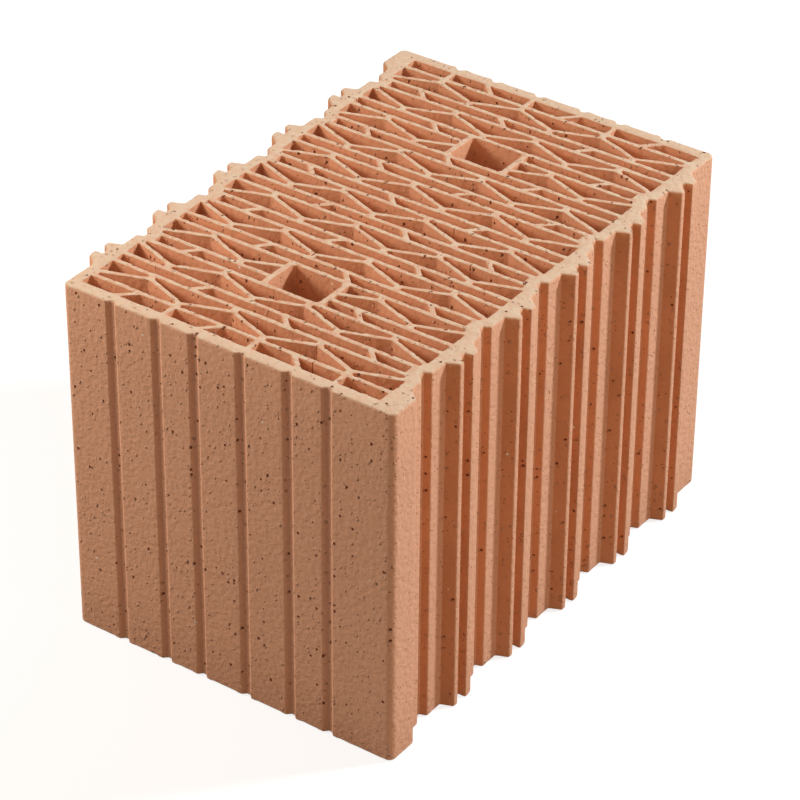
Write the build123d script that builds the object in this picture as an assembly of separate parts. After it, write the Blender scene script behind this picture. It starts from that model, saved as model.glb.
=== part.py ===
from build123d import *
from math import hypot
import os

# A hollow clay block for walls, extruded as one fired piece.
# Lengths are in millimetres. X runs along the wall, Y through its thickness from the
# outer face to the inner one, and Z up the holes. The block stands on its bed face at
# Z = 0 with its centre on the Z axis. A half turn about Z maps the block onto itself,
# so only the left side, the back face and the front hand hole are described.

# Driving sizes
laying_length = 242.0
wall_thickness = 362.0
block_height = 250.0
tongue_height = 8.2

# Walls and webs
side_wall = 7.9
end_wall = 9.2
web = 3.3
zigzag_web = 3.2
neck_width = 4.5
grip_wall = 3.8

# Hole pattern
column_count = 8
zigzag_row_count = 11
end_slot_height = 8.7
zigzag_pitch = 20.3
blunt_end = 2.2
slot_inset = 5.3
grip_width = 38.0
rows_before_grip_count = 2

# Rounding
corner_radius = 5.0
grip_radius = 3.0

# Slants of the dividers in the front half of the thin rows, by column. 1 leans right
# towards the back, -1 leans left and 0 is square to the row. The grip takes the place
# of the dividers between columns 2 and 5 of its row.
divider_slants = [
    {1: 1, 2: 0, 3: 1, 4: 0, 5: -1, 6: 0},
    {2: 1, 4: -1, 6: -1},
    {1: 1, 5: -1},
    {2: 1, 4: -1, 6: -1},
    {1: 1, 3: 1, 5: -1},
    {2: 1, 4: -1, 6: -1},
]

# Places derived from the sizes above
half_body = (laying_length - tongue_height) / 2
half_depth = wall_thickness / 2
field_half = half_body - side_wall
column_pitch = 2 * field_half / (column_count - 1)
columns = [-field_half + i * column_pitch for i in range(column_count)]
outer_web_y = half_depth - end_wall - end_slot_height - web / 2
row_pitch = (2 * outer_web_y - zigzag_pitch) / (zigzag_row_count - 1)
zigzag_rows = [(j - (zigzag_row_count - 1) / 2) * row_pitch for j in range(zigzag_row_count)]
zigzag_clear = zigzag_pitch - web
thin_clear = row_pitch - zigzag_pitch - web


def thin_row_edges(row):
    """Front and back faces of thin row 0 (at the front) to zigzag_row_count."""
    if row == 0:
        return -half_depth + end_wall, -outer_web_y - web / 2
    front = zigzag_rows[row - 1] + (zigzag_pitch + web) / 2
    if row == zigzag_row_count:
        return front, half_depth - end_wall
    return front, front + thin_clear


def thin_row_centre(row):
    """Middle of a thin row."""
    return sum(thin_row_edges(row)) / 2


def flat_face(points):
    """A plane face inside a closed line of points."""
    return make_face(Polyline(*points, close=True))


# Side joint: each tongue has a long flank, two crests with a notch between them and a
# steep flank. Each point is a place along Y from the tongue's centre, a share of the
# tongue's height, and the radius there. A groove has a steep flank and a long one.
notch_floor_share = 0.36
tongue_shape = [
    (-16.0, 0.0, 5.0),
    (-9.4, 1.0, 2.5),
    (-3.7, 1.0, 1.0),
    (-2.7, notch_floor_share, 0.8),
    (0.6, notch_floor_share, 1.5),
    (5.0, 1.0, 1.8),
    (8.8, 1.0, 1.8),
    (12.2, 0.0, 1.0),
]
corner_tongue_shape = tongue_shape[:2]
groove_floor_share = -0.56
side_groove_shape = [
    (-4.6, 0.0, 1.6),
    (-2.6, groove_floor_share, 0.8),
    (0.6, groove_floor_share, 1.2),
    (5.7, 0.0, 3.0),
]


def side_points(shape, centre):
    """Points of one tongue or groove on the left side, as (x, y, radius)."""
    base = -half_body
    return [(base - share * tongue_height, centre + along, radius) for along, share, radius in shape]


def left_side():
    """The left side from the front corner to the back corner."""
    points = [(-half_body, -half_depth, corner_radius)]
    for row in range(1, zigzag_row_count):
        shape = tongue_shape if row % 2 else side_groove_shape
        points += side_points(shape, thin_row_centre(row))
    points += side_points(corner_tongue_shape, thin_row_centre(zigzag_row_count))
    points.append((-half_body - tongue_height, half_depth, corner_radius))
    return points


# Plaster grooves in the front and back faces, one near each inner column, with the
# shift of each front groove from its column
plaster_groove_depth = 2.3
plaster_groove_mouth = 7.6
plaster_groove_floor = 2.5
plaster_groove_shifts = [-2.1, 0.7, -2.9, 0.3, 3.1, 0.1]


def back_face():
    """The back face's grooves from left to right."""
    points = []
    for column, shift in reversed(list(zip(columns[1:-1], plaster_groove_shifts))):
        centre = -column - shift
        floor_y = half_depth - plaster_groove_depth
        points += [
            (centre - plaster_groove_mouth / 2, half_depth, 1.2),
            (centre - plaster_groove_floor / 2, floor_y, 0.8),
            (centre + plaster_groove_floor / 2, floor_y, 0.8),
            (centre + plaster_groove_mouth / 2, half_depth, 1.2),
        ]
    return points


def block_outline():
    """The outline of the whole block."""
    half = left_side() + back_face()
    other_half = [(-x, -y, radius) for x, y, radius in half]
    corners = [(x, y) for x, y, _ in half + other_half]
    radii = [radius for _, _, radius in half + other_half]
    return make_face(FilletPolyline(*corners, radius=radii, close=True))


def zigzag_cells(row):
    """Cells on both sides of the zigzag web in one row."""
    rise = (zigzag_clear - 2 * blunt_end - zigzag_web) / (column_pitch - neck_width)
    peak = blunt_end + rise * (column_pitch - neck_width / 2)
    cells = []
    for i, x in enumerate(columns):
        # The web touches the row's back face at every other column
        touches_back = (i + row) % 2 == 1
        side = 1 if touches_back else -1
        base = zigzag_rows[row] - side * zigzag_clear / 2
        points = []
        if i > 0:
            left = x - column_pitch + neck_width / 2
            points += [(left, base), (left, base + side * blunt_end)]
        else:
            points += [(x, base)]
        points.append((x, base + side * peak))
        if i < column_count - 1:
            right = x + column_pitch - neck_width / 2
            points += [(right, base + side * blunt_end), (right, base)]
        else:
            points += [(x, base)]
        cells.append(flat_face(points))
    return cells


def thin_row_cells(row):
    """Cells between the dividers of one thin row."""
    last = zigzag_row_count
    if row <= last // 2:
        slants = divider_slants[row]
    else:
        slants = {column_count - 1 - i: slant for i, slant in divider_slants[last - row].items()}
    front, back = thin_row_edges(row)
    run = (back - front) / 2
    # A slot that ends behind a side groove stops short of it
    left_end = -field_half + (slot_inset if row % 2 == 0 and row > 0 else 0)
    right_end = field_half - (slot_inset if row % 2 == 1 and row < last else 0)
    cells = []
    left_front = left_back = left_end
    for i in sorted(slants):
        # The divider's middle at the row's front and back, and half its width along X
        middle_front = columns[i] - slants[i] * run
        middle_back = columns[i] + slants[i] * run
        half_web = web / 2 * hypot(1, slants[i])
        right_front, right_back = middle_front - half_web, middle_back - half_web
        cells.append([(left_front, front), (right_front, front), (right_back, back), (left_back, back)])
        left_front, left_back = middle_front + half_web, middle_back + half_web
    cells.append([(left_front, front), (right_end, front), (right_end, back), (left_back, back)])
    return [flat_face(points) for points in cells]


def grip_box(margin):
    """The front hand hole's rectangle, grown sideways by a margin."""
    front = thin_row_edges(rows_before_grip_count)[0]
    back = zigzag_rows[rows_before_grip_count] + zigzag_clear / 2
    return Pos(0, (front + back) / 2) * Rectangle(grip_width + 2 * margin, back - front)


def section():
    """The block's section with all its holes."""
    cells = []
    for row in range(zigzag_row_count):
        cells += zigzag_cells(row)
    for row in range(zigzag_row_count + 1):
        cells += thin_row_cells(row)
    grip_surround = grip_box(grip_wall)
    grip = fillet(grip_box(0).vertices(), grip_radius)
    half_turn = Rot(0, 0, 180)
    holes = Sketch() + cells
    holes -= [grip_surround, half_turn * grip_surround]
    holes += [grip, half_turn * grip]
    return block_outline() - holes


os.makedirs("parts", exist_ok=True)
clay_block = extrude(section(), amount=block_height)
export_step(clay_block, "parts/clay_block.step")
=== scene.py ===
import math

import bmesh
import bpy
from mathutils import Matrix, Vector, noise
from mathutils.geometry import delaunay_2d_cdt, intersect_line_line_2d


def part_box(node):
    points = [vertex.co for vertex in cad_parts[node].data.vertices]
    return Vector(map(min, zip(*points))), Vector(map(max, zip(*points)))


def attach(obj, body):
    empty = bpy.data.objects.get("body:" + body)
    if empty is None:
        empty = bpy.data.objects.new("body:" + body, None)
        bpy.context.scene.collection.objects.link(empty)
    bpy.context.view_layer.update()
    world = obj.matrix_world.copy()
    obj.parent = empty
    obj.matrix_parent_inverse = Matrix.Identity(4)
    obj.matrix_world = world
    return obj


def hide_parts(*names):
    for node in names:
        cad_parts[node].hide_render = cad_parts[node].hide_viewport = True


# A hollow fired clay block, dressed for a studio picture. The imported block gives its
# section. The visible piece is that section with the slight faults of extruded clay:
# wandering webs, softened corners, and broken arrises round the ground bed faces.

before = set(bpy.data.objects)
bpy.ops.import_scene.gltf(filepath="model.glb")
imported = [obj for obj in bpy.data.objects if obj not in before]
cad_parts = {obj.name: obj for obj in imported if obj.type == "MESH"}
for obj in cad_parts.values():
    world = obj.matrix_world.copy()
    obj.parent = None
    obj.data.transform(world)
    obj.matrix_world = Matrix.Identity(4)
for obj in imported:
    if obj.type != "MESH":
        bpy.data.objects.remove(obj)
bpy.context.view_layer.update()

MM = 0.001
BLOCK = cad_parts["clay_block"]
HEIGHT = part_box("clay_block")[1].z

# Camera, fitted to the corners and holes in the photograph
CAMERA_AZIMUTH = math.radians(35.051)
CAMERA_ELEVATION = math.radians(33.524)
CAMERA_ROLL = math.radians(0.523)
CAMERA_DISTANCE = 2.225
CAMERA_LENS = 158.55
CAMERA_SENSOR = 36
CAMERA_AIM = Vector((3.95, -2.53, 118.45)) * MM


def make_camera():
    """The camera looks at the aim point from the azimuth and elevation, then rolls."""
    back = Vector((
        math.sin(CAMERA_AZIMUTH) * math.cos(CAMERA_ELEVATION),
        -math.cos(CAMERA_AZIMUTH) * math.cos(CAMERA_ELEVATION),
        math.sin(CAMERA_ELEVATION),
    ))
    right = Vector((0, 0, 1)).cross(back).normalized()
    up = back.cross(right)
    turned_right = right * math.cos(CAMERA_ROLL) + up * math.sin(CAMERA_ROLL)
    turned_up = up * math.cos(CAMERA_ROLL) - right * math.sin(CAMERA_ROLL)
    axes = Matrix((turned_right, turned_up, back)).transposed().to_4x4()
    data = bpy.data.cameras.new("camera")
    data.lens = CAMERA_LENS
    data.sensor_width = CAMERA_SENSOR
    camera = bpy.data.objects.new("camera", data)
    camera.matrix_world = Matrix.Translation(CAMERA_AIM + back * CAMERA_DISTANCE) @ axes
    bpy.context.scene.collection.objects.link(camera)
    bpy.context.scene.camera = camera


# Points along the outlines
POINT_STEP = 2.1 * MM
CORNER_CUT = 1.0 * MM
LONGEST_CUT_SHARE = 0.45
CORNER_STEPS = 3
SHARP_TURN = math.radians(25)

# Uneven walls: how far they are off, and the size of the bumps
WANDER = 0.35 * MM
SLOW_WANDER_SIZE = 16 * MM
SLOW_WANDER_SHARE = 1.3
FINE_WANDER_SIZE = 6 * MM
FINE_WANDER_SHARE = 0.6
THICKNESS_CHANGE = 0.22 * MM
FACE_DIP = 0.25 * MM
RELIEF_SIZE = 5 * MM
# A step up the block counts for this much of one across it, so the bumps are long
# the way the clay was extruded
UPRIGHT_SCALE = 0.15

# Arrises round the bed faces: their size, how it changes along the edge, and the chips
OUTER_ARRIS = 1.7 * MM
OUTER_WEAR = 0.25
OUTER_WEAR_SIZE = 9 * MM
HOLE_ARRIS = 0.32 * MM
HOLE_WEAR = 1.2
HOLE_WEAR_SIZE = 3 * MM
CHIP = 1.3 * MM
CHIP_SIZE = 2.6 * MM
CHIP_START = 0.34
CHIP_RANGE = 0.3
# Depth and set-back of each ring of points round a bed face, as shares of the arris
OUTER_RINGS = [(0.0, 1.0), (0.13, 0.5), (0.5, 0.13), (1.0, 0.0)]
HOLE_RINGS = [(0.0, 1.0), (0.35, 0.35), (1.0, 0.0)]
# Where an arris would fold over itself: how many points a fold spans at most, how much
# the arris shrinks there at a time, and how fast it may grow along the edge
LONGEST_FOLD = 16
SHRINK = 0.85
ARRIS_SLOPE = 0.6
# Heights at which a wall has a ring of points between its arrises
WALL_LEVELS = [HEIGHT - 40 * MM, HEIGHT / 2, 40 * MM]

# Edges sharper than this stay sharp in the shading
SMOOTH_ANGLE = math.radians(38)

# Points nearer than this count as one, and points this near the top count as on it
WELD_DISTANCE = 1e-6
LEVEL_TOLERANCE = 1e-5


def section_loops():
    """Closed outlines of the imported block's top face, each with the clay on its left."""
    mesh = bmesh.new()
    mesh.from_mesh(BLOCK.data)
    bmesh.ops.remove_doubles(mesh, verts=mesh.verts, dist=WELD_DISTANCE)
    # The faces are taken in their own order, so that every run gives the same loops
    lowest = HEIGHT - LEVEL_TOLERANCE
    is_top = {face: all(v.co.z > lowest for v in face.verts) for face in mesh.faces}
    following = {}
    for face in [face for face in mesh.faces if is_top[face]]:
        for loop in face.loops:
            if sum(is_top[other] for other in loop.edge.link_faces) == 1:
                start = loop.vert
                following[start] = loop.link_loop_next.vert
    loops = []
    while following:
        start = next(iter(following))
        points = []
        vert = start
        while vert in following:
            points.append(vert.co.to_2d())
            vert = following.pop(vert)
        loops.append(points)
    mesh.free()
    return sorted(loops, key=lambda points: -length_of(points))


def length_of(points):
    """Length of a closed line."""
    return sum((b - a).length for a, b in zip(points, points[1:] + points[:1]))


def soften(points):
    """Round the sharp corners of a closed line, then divide its long runs."""
    rounded = []
    count = len(points)
    for i, corner in enumerate(points):
        before, after = points[i - 1] - corner, points[(i + 1) % count] - corner
        turn = math.pi - before.angle(after)
        if turn < SHARP_TURN:
            rounded.append(corner)
            continue
        start = corner + before.normalized() * min(CORNER_CUT, before.length * LONGEST_CUT_SHARE)
        end = corner + after.normalized() * min(CORNER_CUT, after.length * LONGEST_CUT_SHARE)
        for step in range(CORNER_STEPS + 1):
            t = step / CORNER_STEPS
            rounded.append(start * (1 - t) ** 2 + corner * 2 * t * (1 - t) + end * t ** 2)
    divided = []
    for a, b in zip(rounded, rounded[1:] + rounded[:1]):
        pieces = max(1, round((b - a).length / POINT_STEP))
        divided += [a.lerp(b, k / pieces) for k in range(pieces)]
    return divided


def outward(points):
    """The direction out of the clay at each point of a closed line."""
    count = len(points)
    directions = []
    for i in range(count):
        along = points[(i + 1) % count] - points[i - 1]
        directions.append(Vector((along.y, -along.x)).normalized())
    return directions


def field(point, z, size, seed):
    """Smooth noise between about -1 and 1 whose bumps are some size across."""
    return noise.noise(Vector((point.x / size, point.y / size, z / size + seed)))


def wander(point):
    """How far the die and the drying have moved a web."""
    slow = Vector([field(point, 0, SLOW_WANDER_SIZE, seed) for seed in (1, 7)])
    fine = Vector([field(point, 0, FINE_WANDER_SIZE, seed) for seed in (13, 19)])
    return (slow * SLOW_WANDER_SHARE + fine * FINE_WANDER_SHARE) * WANDER


def arris_size(point, bed, is_outside):
    """How much of the arris at a bed face is worn or broken away."""
    if is_outside:
        return OUTER_ARRIS * (1 + OUTER_WEAR * field(point, bed, OUTER_WEAR_SIZE, 31))
    wear = 1 + HOLE_WEAR * field(point, bed, HOLE_WEAR_SIZE, 31)
    chip = max(0.0, field(point, bed, CHIP_SIZE, 43) - CHIP_START) / CHIP_RANGE
    return HOLE_ARRIS * wear + CHIP * min(chip, 1.0)


def crossings(points):
    """Places in a closed line where it crosses itself, as the numbers of the points between."""
    count = len(points)
    for i in range(count):
        for gap in range(2, LONGEST_FOLD):
            first = points[i], points[(i + 1) % count]
            second = points[(i + gap) % count], points[(i + gap + 1) % count]
            if intersect_line_line_2d(*first, *second):
                yield [(i + k) % count for k in range(gap + 2)]


def arris_sizes(points, directions, bed, is_outside):
    """The arris at each point of an outline, smaller where its inner edge would fold."""
    sizes = [arris_size(point, bed, is_outside) for point in points]
    pairs = [(i - 1, i) for i in range(len(points))]
    while True:
        inner = [point - direction * size for point, direction, size in zip(points, directions, sizes)]
        folded = list(crossings(inner))
        if not folded:
            return sizes
        for i in {i for fold in folded for i in fold}:
            sizes[i] *= SHRINK
        # The arris grows and shrinks gradually along the edge
        for i, j in pairs + pairs:
            sizes[j] = min(sizes[j], sizes[i] + ARRIS_SLOPE * (points[j] - points[i]).length)
        for i, j in reversed(pairs + pairs):
            sizes[i] = min(sizes[i], sizes[j] + ARRIS_SLOPE * (points[j] - points[i]).length)


def wall_places(points, directions, z, is_outside):
    """Points of one outline moved to where the uneven wall is at a height."""
    places = []
    for point, direction in zip(points, directions):
        relief = field(point, z * UPRIGHT_SCALE, RELIEF_SIZE, 53)
        if is_outside:
            places.append(point - direction * FACE_DIP * (0.5 + 0.5 * relief))
        else:
            places.append(point + wander(point) + direction * THICKNESS_CHANGE * relief)
    return places


def bed_rings(points, directions, bed, is_outside):
    """Rings of points round the arris at one bed face, from the bed to the wall."""
    places = wall_places(points, directions, bed, is_outside)
    sizes = arris_sizes(places, directions, bed, is_outside)
    down = -1 if bed > 0 else 1
    result = []
    for depth, share in OUTER_RINGS if is_outside else HOLE_RINGS:
        ring = []
        for place, direction, size in zip(places, directions, sizes):
            inner = place - direction * size * share
            ring.append(Vector((inner.x, inner.y, bed + down * depth * size)))
        result.append(ring)
    return result


def rings(points, is_outside):
    """Rings of points down one wall of the block, from the top bed to the bottom one."""
    directions = outward(points)
    result = bed_rings(points, directions, HEIGHT, is_outside)
    for z in WALL_LEVELS:
        places = wall_places(points, directions, z, is_outside)
        result.append([place.to_3d() + Vector((0, 0, z)) for place in places])
    return result + bed_rings(points, directions, 0, is_outside)[::-1]


# What the triangulation keeps, and how near two of its points count as one
INSIDE_WITHOUT_HOLES = 2
SAME_POINT = 1e-9


def bed_face(loops):
    """Triangles of the clay between the outlines at a bed face, seen from above."""
    points = [point.to_2d() for loop in loops for point in loop]
    areas = []
    start = 0
    for number, loop in enumerate(loops):
        ids = list(range(start, start + len(loop)))
        # The first outline runs anticlockwise and the holes run clockwise
        areas.append(ids if number == 0 else ids[::-1])
        start += len(loop)
    result = delaunay_2d_cdt(points, [], areas, INSIDE_WITHOUT_HOLES, SAME_POINT)
    ids = [origin[0] for origin in result[3]]
    return [[ids[i] for i in face] for face in result[2]]


def clay_mesh():
    """The visible block as one closed mesh."""
    vertices, faces = [], []
    top_loops, bottom_loops = [], []
    top_ids, bottom_ids = [], []
    for number, outline in enumerate(section_loops()):
        stack = rings(soften(outline), number == 0)
        count = len(stack[0])
        base = len(vertices)
        for ring in stack:
            vertices += ring
        for level in range(len(stack) - 1):
            high, low = base + level * count, base + (level + 1) * count
            for i in range(count):
                j = (i + 1) % count
                faces.append((high + j, high + i, low + i, low + j))
        top_loops.append(stack[0])
        top_ids += range(base, base + count)
        bottom_loops.append(stack[-1])
        bottom_ids += range(base + (len(stack) - 1) * count, base + len(stack) * count)
    faces += [[top_ids[i] for i in face] for face in bed_face(top_loops)]
    faces += [[bottom_ids[i] for i in reversed(face)] for face in bed_face(bottom_loops)]
    mesh = bpy.data.meshes.new("clay_body")
    mesh.from_pydata(vertices, [], faces)
    mesh.validate()
    mesh.shade_smooth()
    mesh.set_sharp_from_angle(angle=SMOOTH_ANGLE)
    return mesh


# Numbers of a mix node's colour sockets
MIX_A = 6
MIX_B = 7
MIX_RESULT = 2


class Nodes:
    """Short names for adding shader nodes to one material."""

    def __init__(self, name):
        self.material = bpy.data.materials.new(name)
        self.material.use_nodes = True
        self.tree = self.material.node_tree
        self.shader = self.tree.nodes["Principled BSDF"]
        geometry = self.tree.nodes.new("ShaderNodeNewGeometry")
        self.position = geometry.outputs["Position"]
        self.normal = geometry.outputs["True Normal"]

    def put(self, value, socket):
        """Link or set a socket."""
        if isinstance(value, bpy.types.NodeSocket):
            self.tree.links.new(value, socket)
        else:
            socket.default_value = value

    def math(self, operation, a, b=0.0, c=0.0, clamp=False):
        node = self.tree.nodes.new("ShaderNodeMath")
        node.operation = operation
        node.use_clamp = clamp
        for value, socket in zip((a, b, c), node.inputs):
            self.put(value, socket)
        return node.outputs[0]

    def vector(self, operation, a, b, output="Vector"):
        node = self.tree.nodes.new("ShaderNodeVectorMath")
        node.operation = operation
        self.put(a, node.inputs[0])
        self.put(b, node.inputs[1])
        return node.outputs[output]

    def split(self, vector):
        node = self.tree.nodes.new("ShaderNodeSeparateXYZ")
        self.put(vector, node.inputs[0])
        return node.outputs

    def ramp(self, value, low, high, to_low=0.0, to_high=1.0):
        """A smooth step between two values."""
        node = self.tree.nodes.new("ShaderNodeMapRange")
        node.interpolation_type = "SMOOTHSTEP"
        for new, socket in zip((value, low, high, to_low, to_high), node.inputs):
            self.put(new, socket)
        return node.outputs[0]

    def mix(self, share, a, b):
        """Colour a with a share of colour b."""
        node = self.tree.nodes.new("ShaderNodeMix")
        node.data_type = "RGBA"
        self.put(share, node.inputs["Factor"])
        self.put(a, node.inputs[MIX_A])
        self.put(b, node.inputs[MIX_B])
        return node.outputs[MIX_RESULT]

    def place(self, size, seed, stretch=1.0, shift=0.0):
        """Position in units of a size, moved by a seed and a shift, with Z drawn out."""
        scale = (1 / size, 1 / size, 1 / (size * stretch))
        scaled = self.vector("MULTIPLY", self.position, scale)
        move = shift / size
        return self.vector("ADD", scaled, (seed + move, seed * 1.7 + move, seed * 0.6 + move))

    def clouds(self, size, seed, detail=3.0):
        """Noise from 0 to 1 with soft patches of a size."""
        node = self.tree.nodes.new("ShaderNodeTexNoise")
        node.inputs["Scale"].default_value = 1.0
        node.inputs["Detail"].default_value = detail
        self.put(self.place(size, seed), node.inputs["Vector"])
        return node.outputs["Fac"]

    def spots(self, spacing, radius, share, seed, softness, stretch=1.0, shift=0.0):
        """Scattered spots, 1 in the middle and 0 outside, in a share of the places."""
        node = self.tree.nodes.new("ShaderNodeTexVoronoi")
        node.inputs["Scale"].default_value = 1.0
        self.put(self.place(spacing, seed, stretch, shift), node.inputs["Vector"])
        random = self.split(node.outputs["Color"])[0]
        size = self.ramp(random, 1 - share, 1.0, 0.0, radius / spacing)
        inside = self.math("SUBTRACT", size, node.outputs["Distance"])
        return self.math("DIVIDE", inside, softness * radius / spacing, clamp=True)

    def blot(self, centre, half_size):
        """1 inside a rounded spot at a place and 0 outside, with a soft edge."""
        away = self.vector("SUBTRACT", self.position, [part * MM for part in centre])
        scaled = self.vector("DIVIDE", away, [part * MM for part in half_size])
        distance = self.vector("LENGTH", scaled, (0, 0, 0), "Value")
        return self.ramp(distance, 0.75, 1.15, 1.0, 0.0)


# Colours of the clay, as linear values
ORANGE = (0.71, 0.31, 0.155, 1)
BROWN = (0.63, 0.27, 0.13, 1)
GREYED = (0.60, 0.285, 0.155, 1)
# Pale colour: dust on the front, back and hole walls, and a painted sheen on the long sides' faces that
# look along X
DUST_AND_SHEEN = (0.79, 0.44, 0.29, 1)
CREAM = (0.78, 0.58, 0.42, 1)
PINK_CREAM = (0.75, 0.455, 0.31, 1)
# Dark red-brown painted shade for the inside of pits and cracks, which are not cut into the mesh
PIT_AND_CRACK_SHADE = (0.22, 0.054, 0.016, 1)
GRAIN = (0.82, 0.47, 0.30, 1)
LIME = (0.85, 0.82, 0.76, 1)
ASH = (0.20, 0.19, 0.19, 1)

# Where the outside skin and the ground rim begin, along X and along Y
SKIN_X = (110 * MM, 112 * MM)
SKIN_Y = (174 * MM, 176 * MM)
RIM_X = (104 * MM, 112 * MM)
RIM_Y = (168 * MM, 175 * MM)

# Sizes of the soft patches of colour and of the lumps in the surface
PATCH_SIZE = 45 * MM
MOTTLE_SIZE = 2.5 * MM
PINK_SIZE = 4 * MM
LUMP_SIZE = 3.4 * MM

# Scattered spots. A pushed grain lies beside each pit, so it has the pit's places.
PITS = {"spacing": 4.4 * MM, "radius": 1.15 * MM, "share": 0.40, "seed": 5, "softness": 0.35}
PUSHED_GRAINS = PITS | {"radius": 1.1 * MM, "softness": 0.8, "shift": 0.75 * MM}
SINGLE_GRAINS = {"spacing": 4.0 * MM, "radius": 1.3 * MM, "share": 0.60, "seed": 29, "softness": 0.7}
SMALL_PITS = {"spacing": 2.6 * MM, "radius": 0.65 * MM, "share": 0.30, "seed": 17, "softness": 0.4}
LIME_SPECKS = {"spacing": 11 * MM, "radius": 1.1 * MM, "share": 0.35, "seed": 37, "softness": 0.3}
ASH_SPECKS = {
    "spacing": 3.6 * MM, "radius": 0.9 * MM, "share": 0.35, "seed": 41, "softness": 0.5, "stretch": 1.8,
}
# Ash lies on the right side, and this much of it at the floor and at the top
ASH_X = (108 * MM, 116 * MM)
ASH_SHARES = (0.75, 0.25)

# Heights of the relief
LUMP_HEIGHT = 0.9 * MM
GRAIN_HEIGHT = 1.3 * MM
PIT_DEPTH = 1.0 * MM

# Hairline cracks down from the top bed face, drawn as thin painted shade, each as a place and half its
# size in mm
CRACKS = [
    ((67.7, -21.0, 250), (0.35, 2.5, 13)),
    ((35.3, 7.3, 250), (0.35, 2.5, 8)),
    ((55.2, -163.5, 250), (0.35, 2.5, 10)),
    ((46.5, -148.8, 250), (0.30, 2.5, 10)),
    ((-15.8, -66.2, 250), (0.50, 2.5, 6)),
    ((-29.4, 99.8, 250), (0.30, 2.5, 5)),
    ((-83.9, -134.4, 250), (0.30, 2.5, 5)),
]
# Grey smudge on the right side's foot near the back
SMUDGE = ((125, 176, 6), (3, 9, 8))


def skin_colour(n, mottle, across, out_x, out_y):
    """The extruded skin, dusty on the front and back faces and part dusty in the holes. On the long
    sides the same pale colour is a painted sheen on the faces that look along X, and the joint's flanks
    keep the darker, redder skin as painted shade.
    """
    patches = n.clouds(PATCH_SIZE, 3)
    skin = n.mix(n.ramp(patches, 0.35, 0.68), ORANGE, BROWN)
    skin = n.mix(n.ramp(mottle, 0.40, 0.75, 0.0, 0.45), skin, GREYED)
    side = n.ramp(out_x, *SKIN_X)
    # Painted sheen: on the long sides only the faces that look along X take the pale colour, so they
    # read as lit and the flanks as shaded
    painted_side_sheen = n.math("MULTIPLY", n.ramp(across, 0.55, 0.97), side)
    inside_dust = n.ramp(side, 0.0, 1.0, 0.45, 0.0)
    dust_and_sheen = n.math("MAXIMUM", painted_side_sheen, n.ramp(out_y, *SKIN_Y))
    dust_and_sheen = n.math("MAXIMUM", dust_and_sheen, inside_dust)
    dust_and_sheen = n.math("MULTIPLY", dust_and_sheen, n.ramp(mottle, 0.25, 0.60, 1.0, 0.75))
    return n.mix(dust_and_sheen, skin, DUST_AND_SHEEN)


def ground_colour(n, out_x, out_y):
    """The ground bed faces, pinker on the webs than on the outer walls."""
    rim = n.math("MAXIMUM", n.ramp(out_x, *RIM_X), n.ramp(out_y, *RIM_Y))
    pink = n.ramp(n.clouds(PINK_SIZE, 23, 4.0), 0.38, 0.62)
    pink = n.math("MULTIPLY", pink, n.ramp(rim, 0.0, 1.0, 1.0, 0.45))
    return n.mix(pink, CREAM, PINK_CREAM)


def with_specks(n, colour, mottle, grains, pits):
    """A colour with grains, ash, lime and the smudge on it, and with pits and cracks drawn in painted
    shade.
    """
    x, _, z = n.split(n.position)
    ash_share = n.math("MULTIPLY", n.ramp(x, *ASH_X), n.ramp(z, 0, HEIGHT, *ASH_SHARES))
    ash = n.math("MULTIPLY", n.spots(**ASH_SPECKS), ash_share)
    small_pits = n.math("MULTIPLY", n.spots(**SMALL_PITS), 0.8)
    colour = n.mix(n.math("MULTIPLY", grains, 0.50), colour, GRAIN)
    colour = n.mix(ash, colour, ASH)
    colour = n.mix(n.math("MULTIPLY", n.spots(**LIME_SPECKS), 0.9), colour, LIME)
    # Pits and small pits are painted shade, dark where the bump alone would not darken them
    colour = n.mix(n.math("MAXIMUM", pits, small_pits), colour, PIT_AND_CRACK_SHADE)
    # Each crack is a thin blot of painted shade
    for centre, half_size in CRACKS:
        colour = n.mix(n.blot(centre, half_size), colour, PIT_AND_CRACK_SHADE)
    smudge = n.math("MULTIPLY", n.blot(*SMUDGE), n.ramp(mottle, 0.35, 0.60))
    return n.mix(smudge, colour, ASH)


def surface_relief(n, grains, pits):
    """Lumps, raised grains and pits, as a bump of the surface."""
    height = n.math("MULTIPLY", n.clouds(LUMP_SIZE, 59), LUMP_HEIGHT)
    height = n.math("MULTIPLY_ADD", grains, GRAIN_HEIGHT, height)
    height = n.math("MULTIPLY_ADD", pits, -PIT_DEPTH, height)
    bump = n.tree.nodes.new("ShaderNodeBump")
    bump.inputs["Distance"].default_value = 1.0
    n.put(height, bump.inputs["Height"])
    return bump.outputs[0]


def clay_material():
    """Fired clay, paler where the bed faces are ground."""
    n = Nodes("fired_clay")
    out_x, out_y, _ = [n.math("ABSOLUTE", part) for part in n.split(n.position)]
    across, _, up = [n.math("ABSOLUTE", part) for part in n.split(n.normal)]
    mottle = n.clouds(MOTTLE_SIZE, 11)
    pits = n.spots(**PITS)
    grains = n.math("MAXIMUM", n.spots(**PUSHED_GRAINS), n.spots(**SINGLE_GRAINS))
    skin = skin_colour(n, mottle, across, out_x, out_y)
    colour = n.mix(n.ramp(up, 0.50, 0.85), skin, ground_colour(n, out_x, out_y))
    colour = with_specks(n, colour, mottle, grains, pits)
    n.put(colour, n.shader.inputs["Base Color"])
    n.put(surface_relief(n, grains, pits), n.shader.inputs["Normal"])
    n.shader.inputs["Roughness"].default_value = 0.85
    n.shader.inputs["Specular IOR Level"].default_value = 0.20
    return n.material


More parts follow.
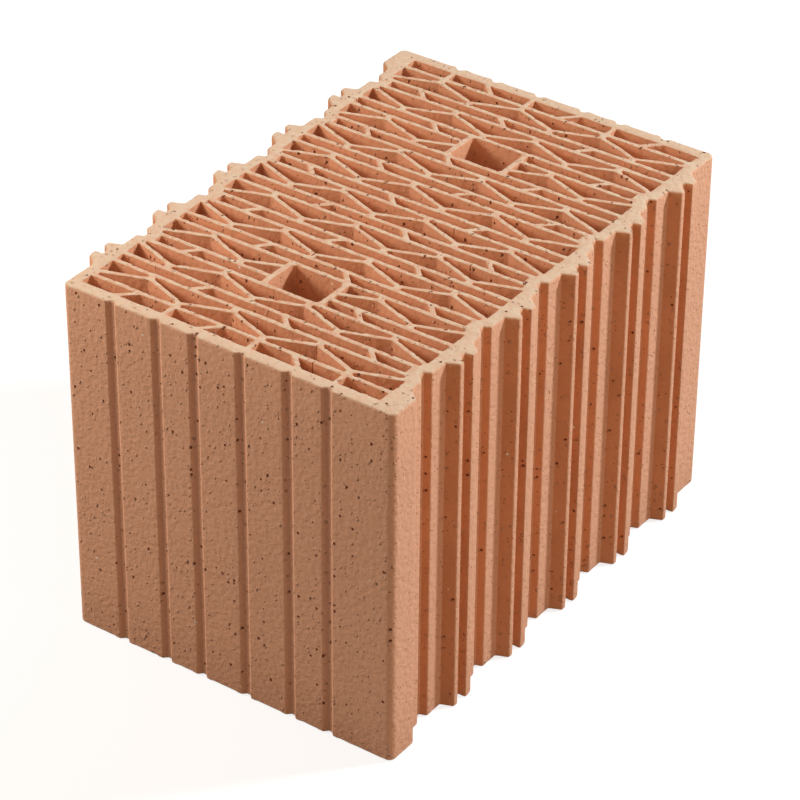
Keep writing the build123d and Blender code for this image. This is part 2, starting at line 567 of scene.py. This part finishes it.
# Light. A strength of 1 shows a surface that faces the lamp at its own colour.
LAMPS = [
    # name, direction to the lamp, distance and width in metres, strength, colour
    ("key", (0.55, 0.55, 0.62), 2.6, 0.35, 0.80, (0.93, 1.03, 1.09)),
    ("fill", (-0.72, -0.50, 0.48), 1.1, 0.40, 0.56, (1.0, 0.91, 0.81)),
    ("bounce", (1.0, -0.15, 0.20), 1.8, 0.80, 0.15, (1.0, 0.62, 0.35)),
]
AMBIENT = (0.27, 0.205, 0.145, 1)
WHITE = (1, 1, 1, 1)

# Floor. Its glow is what the camera sees besides the light on it.
FLOOR_HALF_SIZE = 6.0
FLOOR_DROP = 0.2 * MM
FLOOR_GREY = (0.30, 0.30, 0.30, 1)
FLOOR_GLOW = 0.80


def make_lamps():
    """Round lamps that face the middle of the block."""
    for name, direction, distance, width, strength, colour in LAMPS:
        data = bpy.data.lights.new(name, "AREA")
        data.shape = "DISK"
        data.size = width
        data.energy = strength * (math.pi * distance) ** 2
        data.color = colour
        lamp = bpy.data.objects.new(name, data)
        towards = Vector(direction).normalized()
        lamp.location = towards * distance + Vector((0, 0, HEIGHT / 2))
        lamp.rotation_euler = towards.to_track_quat("Z", "Y").to_euler()
        bpy.context.scene.collection.objects.link(lamp)


def seen_ray(tree):
    """1 for rays that show the background: camera, glossy and transmission rays."""
    path = tree.nodes.new("ShaderNodeLightPath")
    most = tree.nodes.new("ShaderNodeMath")
    most.operation = "MAXIMUM"
    tree.links.new(path.outputs["Is Camera Ray"], most.inputs[0])
    tree.links.new(path.outputs["Is Glossy Ray"], most.inputs[1])
    all_three = tree.nodes.new("ShaderNodeMath")
    all_three.operation = "MAXIMUM"
    tree.links.new(most.outputs[0], all_three.inputs[0])
    tree.links.new(path.outputs["Is Transmission Ray"], all_three.inputs[1])
    return all_three.outputs[0]


def make_world():
    """White where it is seen, and a soft warm light everywhere else."""
    world = bpy.data.worlds.new("studio")
    world.use_nodes = True
    bpy.context.scene.world = world
    tree = world.node_tree
    colour = tree.nodes.new("ShaderNodeMix")
    colour.data_type = "RGBA"
    tree.links.new(seen_ray(tree), colour.inputs["Factor"])
    colour.inputs[MIX_A].default_value = AMBIENT
    colour.inputs[MIX_B].default_value = WHITE
    background = tree.nodes["Background"]
    tree.links.new(colour.outputs[MIX_RESULT], background.inputs["Color"])


def make_floor():
    """A pale floor that looks white and keeps the block's shadow."""
    mesh = bpy.data.meshes.new("floor")
    half = FLOOR_HALF_SIZE
    corners = [(-half, -half, 0), (half, -half, 0), (half, half, 0), (-half, half, 0)]
    mesh.from_pydata(corners, [], [(0, 1, 2, 3)])
    floor = bpy.data.objects.new("floor", mesh)
    floor.location.z = -FLOOR_DROP
    bpy.context.scene.collection.objects.link(floor)
    material = bpy.data.materials.new("floor")
    material.use_nodes = True
    tree = material.node_tree
    shader = tree.nodes["Principled BSDF"]
    shader.inputs["Base Color"].default_value = FLOOR_GREY
    shader.inputs["Roughness"].default_value = 1.0
    shader.inputs["Specular IOR Level"].default_value = 0.0
    shader.inputs["Emission Color"].default_value = WHITE
    glow = tree.nodes.new("ShaderNodeMath")
    glow.operation = "MULTIPLY"
    glow.inputs[1].default_value = FLOOR_GLOW
    tree.links.new(seen_ray(tree), glow.inputs[0])
    tree.links.new(glow.outputs[0], shader.inputs["Emission Strength"])
    floor.data.materials.append(material)


make_camera()
make_lamps()
make_world()
make_floor()
bpy.context.scene.view_settings.view_transform = "Standard"

block = bpy.data.objects.new("clay_body", clay_mesh())
bpy.context.scene.collection.objects.link(block)
block.data.materials.append(clay_material())
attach(block, "root")
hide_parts("clay_block")
